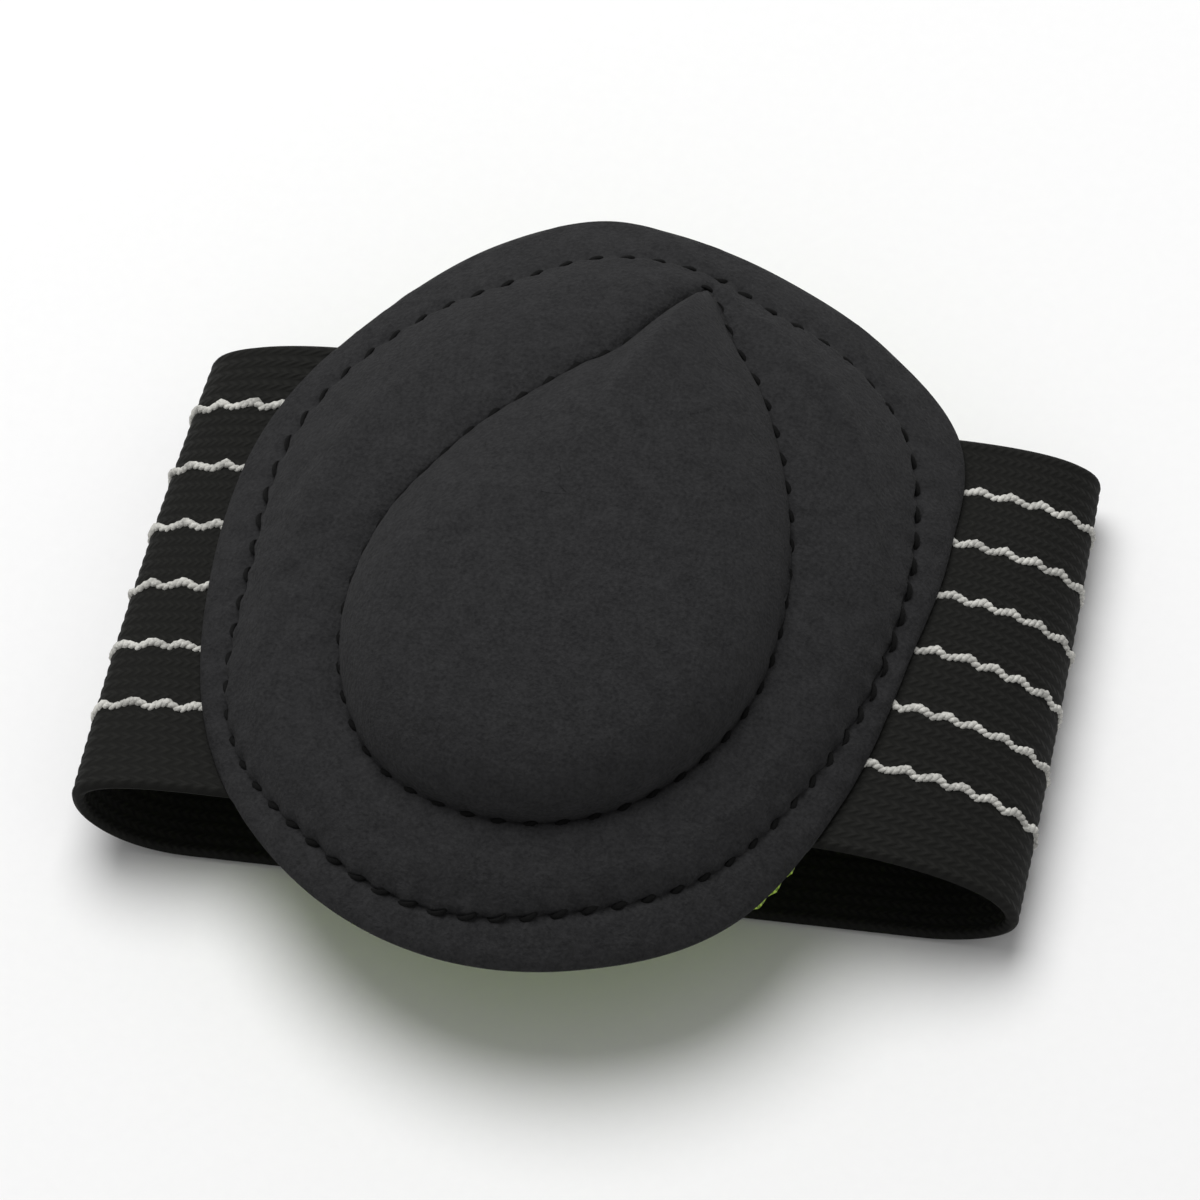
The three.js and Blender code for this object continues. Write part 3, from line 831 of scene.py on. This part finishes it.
class SLEEVE_OT_elastic_band(bpy.types.Operator):
    """Model the knit elastic band"""

    bl_idname = "sleeve.elastic_band"
    bl_label = "Elastic Band"

    def execute(self, context):
        band = settings().band
        ribs = round(band.width / band.wale)
        v = np.linspace(-band.width / 2, band.width / 2, 4 * ribs + 1)
        rows = band_rows(v)
        out, along = band_frame(rows)
        rolled = np.clip((np.abs(v) - band.width / 2 + band.roll) / band.roll, 0, 1)
        half = band.thickness / 2 * np.maximum(np.sqrt(1 - rolled**2), 0.2)
        groove = band.wale_depth * (1 - np.abs(np.sin(np.pi * (v + band.width / 2) / band.wale)))
        lift = (half - groove)[None, :, None]
        points = np.concatenate([(rows + out * lift).reshape(-1, 3), (rows - out * lift).reshape(-1, 3)])
        # On the ground the band rests on the yarn of its stripes.
        points[:, 2] = np.maximum(points[:, 2], band.yarn / 2)
        piece = sleeve_mesh("striped_band", place_pad(points), strap_faces(*rows.shape[:2]))
        lay = piece.data.uv_layers.new(name="Knit")
        places = np.stack(np.broadcast_arrays(along[:, None], v[None, :]), axis=-1).reshape(-1, 2)
        places = np.concatenate([places, places])
        corners = np.empty(len(piece.data.loops), dtype=int)
        piece.data.loops.foreach_get("vertex_index", corners)
        lay.data.foreach_set("uv", places[corners].ravel())
        dress(piece, knit_elastic(), "elastic", "elastic_band")
        return {"FINISHED"}


# Tracks across the strip that a stripe lies in, half the strip's width, how far the yarn goes into a tuck
# and its points in one turn of the plies.
TRACKS = 5
STRIP = 0.001
YARN_TUCK = 0.002
TWIST_POINTS = 6


def stripe_tracks(middle):
    """Tracks along the band beside a stripe's middle line: their points, outward vectors and distances."""
    rows = band_rows(middle + np.linspace(-STRIP, STRIP, TRACKS))
    return rows, *band_frame(rows)


def between_tracks(grid, along, places, aside):
    """Values of a grid of tracks at some places along them, each at its own distance aside."""
    column = (aside + STRIP) * (TRACKS - 1) / (2 * STRIP)
    low = np.clip(np.floor(column).astype(int), 0, TRACKS - 2)
    spread = (column - low)[:, None]
    index = np.arange(len(places))
    axes = range(3)
    tracks = [[np.interp(places, along, grid[:, track, axis]) for axis in axes] for track in range(TRACKS)]
    tracks = np.array(tracks).transpose(0, 2, 1)
    return tracks[low, index] * (1 - spread) + tracks[low + 1, index] * spread


def yarn_swing(places, stripe, face):
    """How a stripe swings from side to side, from -1 to 1, and how unevenly its yarn lies."""
    band = settings().band
    # Each stripe and each face starts its swing elsewhere and has a row of noise of its own.
    phase = 2 * np.pi * (places / band.zigzag_pitch + 0.37 * stripe + 0.25 * face)
    spots = [Vector((place / band.uneven, stripe * 7.1, face)) for place in places]
    drift = np.array([noise.noise(spot) for spot in spots])
    # The arc of a sine is a zigzag, and of a little less than a sine it is one with round corners.
    return 2 / np.pi * np.arcsin(0.96 * np.sin(phase + 1.2 * drift)), drift


def add_ply(line, points, thick):
    """Adds one ply to a line of yarn, with its thickness at each point."""
    ply = line.splines.new("POLY")
    ply.points.add(len(points) - 1)
    ply.points.foreach_set("co", np.column_stack([points, np.ones(len(points))]).ravel())
    ply.points.foreach_set("radius", thick)


class SLEEVE_OT_band_stripes(bpy.types.Operator):
    """Lay the zigzag yarn of the stripes on both faces of the band"""

    bl_idname = "sleeve.band_stripes"
    bl_label = "Band Stripes"

    def execute(self, context):
        band = settings().band
        wind = band.yarn / 3
        # Its last number is the share of the yarn's colour left in its painted shade.
        finish = spun_yarn("Spun white polyester", settings().finish.yarn, 0.35, 0.45)
        lines = {}
        for face, name in ((1, "outer_stripe_yarn"), (-1, "inner_stripe_yarn")):
            line = bpy.data.curves.new(name, "CURVE")
            line.dimensions = "3D"
            line.bevel_depth = band.yarn / 2
            line.bevel_resolution = 1
            lines[face] = line
        for stripe in range(band.stripes):
            rows, out, along = stripe_tracks(band.first_stripe - stripe * band.stripe_pitch)
            hidden = band.tuck - YARN_TUCK
            shown = along[(along > hidden) & (along < along[-1] - hidden)]
            places = np.arange(shown[0], shown[-1], band.twist / TWIST_POINTS)
            for face, line in lines.items():
                swing, drift = yarn_swing(places, stripe, face)
                aside = band.zigzag * swing * (1 + 0.35 * drift)
                # Where it swings to the near side the yarn sinks deeper between the ribs, and is thinner.
                sunk = 0.125 * band.yarn * (1 - swing)
                thick = 1 + 0.15 * swing + 0.15 * drift
                for start in (0, np.pi):
                    wound = 2 * np.pi * places / band.twist + start
                    spots = aside + wind * np.cos(wound)
                    lift = face * (band.thickness / 2 + wind * np.sin(wound) - sunk)
                    outwards = between_tracks(out, along, places, spots)
                    points = between_tracks(rows, along, places, spots) + lift[:, None] * outwards
                    points[:, 2] = np.maximum(points[:, 2], thick * band.yarn / 2)
                    add_ply(line, place_pad(points), thick)
        for line in lines.values():
            yarn = bpy.data.objects.new(line.name, line)
            context.scene.collection.objects.link(yarn)
            choose_only(yarn)
            bpy.ops.object.convert(target="MESH")
            yarn = context.view_layer.objects.active
            yarn.data.shade_smooth()
            dress(yarn, finish, "elastic")
        return {"FINISHED"}


def bowed_stitch():
    """One stitch at the origin: a thread along X whose ends dive into the cloth."""
    quilt = settings().quilt
    bpy.ops.object.select_all(action="DESELECT")
    sizes = {"radius": quilt.thread / 2, "depth": quilt.stitch}
    bpy.ops.mesh.primitive_cylinder_add(vertices=8, rotation=(0, math.pi / 2, 0), **sizes)
    stitch = bpy.context.view_layer.objects.active
    bpy.ops.object.transform_apply(location=True, rotation=True, scale=True)
    bpy.ops.object.mode_set(mode="EDIT")
    for part in (-0.38, -0.2, 0, 0.2, 0.38):
        bpy.ops.mesh.select_all(action="SELECT")
        bpy.ops.mesh.bisect(plane_co=(part * quilt.stitch, 0, 0), plane_no=(1, 0, 0))
    bpy.ops.object.mode_set(mode="OBJECT")
    bpy.ops.object.shade_smooth()
    flat, taper = 0.6, 0.45  # shares of its height that is left, and of its width that its ends lose
    for vertex in stitch.data.vertices:
        dive = (abs(vertex.co.x) / (quilt.stitch / 2)) ** 3
        vertex.co.z = flat * vertex.co.z * (1 - taper * dive) - flat * quilt.thread * dive
        vertex.co.y *= 1 - taper * dive
    return stitch


def sew(piece, rings, name, finish, slot):
    """Sews along some rings of a piece: stitches on its surface, one after another."""
    quilt = settings().quilt
    places = np.empty(3 * len(piece.data.vertices))
    normals = np.empty_like(places)
    piece.data.vertices.foreach_get("co", places)
    piece.data.vertices.foreach_get("normal", normals)
    places, normals = places.reshape(-1, 3), normals.reshape(-1, 3)
    model = bowed_stitch()
    step = 0.0008  # to each side of a stitch, for the seam's direction there
    sewn = []
    for ring in rings:
        chosen = 1 + (ring - 1) * SPOKES + np.arange(SPOKES)
        closed = np.concatenate([places[chosen], places[chosen[:1]]])
        up = np.concatenate([normals[chosen], normals[chosen[:1]]])
        along = np.concatenate([[0], np.cumsum(np.linalg.norm(np.diff(closed, axis=0), axis=1))])
        whole = along[-1]
        count = round(whole / quilt.pitch)

        def at(values, place):
            return Vector([np.interp(place % whole, along, values[:, axis]) for axis in range(3)])

        for place in whole * np.arange(count) / count:
            ahead = at(closed, place + step) - at(closed, place - step)
            upward = at(up, place).normalized()
            forward = (ahead - upward * ahead.dot(upward)).normalized()
            laid = Matrix((forward, upward.cross(forward), upward)).transposed().to_4x4()
            move = Matrix.Translation(at(closed, place) + upward * 0.4 * quilt.thread)
            stitch = model.copy()
            stitch.data = model.data.copy()
            stitch.data.transform(move @ laid @ Matrix.Rotation(quilt.slant, 4, "Z"))
            bpy.context.scene.collection.objects.link(stitch)
            sewn.append(stitch)
    bpy.data.objects.remove(model)
    choose_only(*sewn)
    bpy.ops.object.join()
    thread = bpy.context.view_layer.objects.active
    thread.name = name
    thread.data.name = name
    dress(thread, finish, slot)


class SLEEVE_OT_seam_stitches(bpy.types.Operator):
    """Sew both seams of the pad through its cover and its lining"""

    bl_idname = "sleeve.seam_stitches"
    bl_label = "Seam Stitches"

    def execute(self, context):
        colours = settings().finish
        # In both threads' finishes the last number is the share of the colour left in its painted shade.
        upper = spun_yarn("Bonded nylon thread", colours.thread, 0.25, 0.6)
        sew(bpy.data.objects["quilted_cover"], COVER_SEAMS, "cover_thread", upper, "brushed_cloth")
        dome, border, flange = LINING_RINGS
        last = 2 * (dome + border + flange) + 1
        seams = (last - dome, last - dome - border)
        lower = spun_yarn("Spun green polyester", colours.lining_thread, 0.25, 0.6)
        sew(bpy.data.objects["knit_lining"], seams, "lining_thread", lower, "lime_knit")
        return {"FINISHED"}


# Where the key light hangs, and what the camera looks at.
KEY_PLACE = (-0.28, 0.4, 1.17)
CAMERA_TARGET = (0.0, 0.0025, 0.0155)


class SLEEVE_OT_stage(bpy.types.Operator):
    """Set the floor, the lights and the camera"""

    bl_idname = "sleeve.stage"
    bl_label = "Stage"

    def execute(self, context):
        view = settings().view
        scene = context.scene
        bpy.ops.object.select_all(action="DESELECT")
        bpy.ops.mesh.primitive_plane_add(size=8)
        floor = context.view_layer.objects.active
        floor.name = "floor"
        floor.data.materials.append(painted_floor())

        world = bpy.data.worlds.new("Soft studio")
        world.use_nodes = True
        sky = world.node_tree.nodes["Background"].inputs
        sky["Color"].default_value = opaque((1, 1, 1))
        sky["Strength"].default_value = view.fill
        scene.world = world

        key = bpy.data.lights.new("Key", "AREA")
        key.energy = view.key
        key.shape = "DISK"
        key.size = view.key_size
        lamp = bpy.data.objects.new("Key", key)
        lamp.location = KEY_PLACE
        lamp.rotation_euler = (-lamp.location).to_track_quat("-Z", "Y").to_euler()
        scene.collection.objects.link(lamp)

        lens = bpy.data.cameras.new("Camera")
        lens.sensor_width = 36
        lens.lens = lens.sensor_width * view.distance / view.field
        camera = bpy.data.objects.new("Camera", lens)
        scene.collection.objects.link(camera)
        turn, lift = math.radians(view.azimuth), math.radians(view.elevation)
        back = Vector((math.sin(turn) * math.cos(lift), -math.cos(turn) * math.cos(lift), math.sin(lift)))
        camera.location = Vector(CAMERA_TARGET) + back * view.distance
        camera.rotation_euler = (-back).to_track_quat("-Z", "Y").to_euler()
        scene.camera = camera
        scene.view_settings.view_transform = "Standard"
        return {"FINISHED"}


class SLEEVE_PT_panel(bpy.types.Panel):
    """Pieces of the sleeve"""

    bl_idname = "SLEEVE_PT_panel"
    bl_label = "Arch Support Sleeve"
    bl_space_type = "VIEW_3D"
    bl_region_type = "UI"
    bl_category = "Sleeve"

    def draw(self, context):
        for operator in OPERATORS:
            self.layout.operator(operator.bl_idname)
        sleeve = settings()
        for group in (sleeve.pad, sleeve.quilt, sleeve.band, sleeve.finish, sleeve.view):
            box = self.layout.box()
            for name in group.__annotations__:
                box.prop(group, name)


OPERATORS = (
    SLEEVE_OT_pad_cover,
    SLEEVE_OT_pad_lining,
    SLEEVE_OT_arch_cushion,
    SLEEVE_OT_elastic_band,
    SLEEVE_OT_band_stripes,
    SLEEVE_OT_seam_stitches,
    SLEEVE_OT_stage,
)
GROUPS = (PadSizes, QuiltSizes, BandSizes, FinishColours, ViewSettings, SleeveSettings)


def register():
    for kind in (*GROUPS, *OPERATORS, SLEEVE_PT_panel):
        bpy.utils.register_class(kind)
    bpy.types.Scene.sleeve = PointerProperty(type=SleeveSettings)


def unregister():
    del bpy.types.Scene.sleeve
    for kind in reversed((*GROUPS, *OPERATORS, SLEEVE_PT_panel)):
        bpy.utils.unregister_class(kind)


def main():
    register()
    bpy.ops.sleeve.pad_cover()
    bpy.ops.sleeve.pad_lining()
    bpy.ops.sleeve.arch_cushion()
    bpy.ops.sleeve.elastic_band()
    bpy.ops.sleeve.band_stripes()
    bpy.ops.sleeve.seam_stitches()
    bpy.ops.sleeve.stage()


if __name__ == "__main__":
    main()
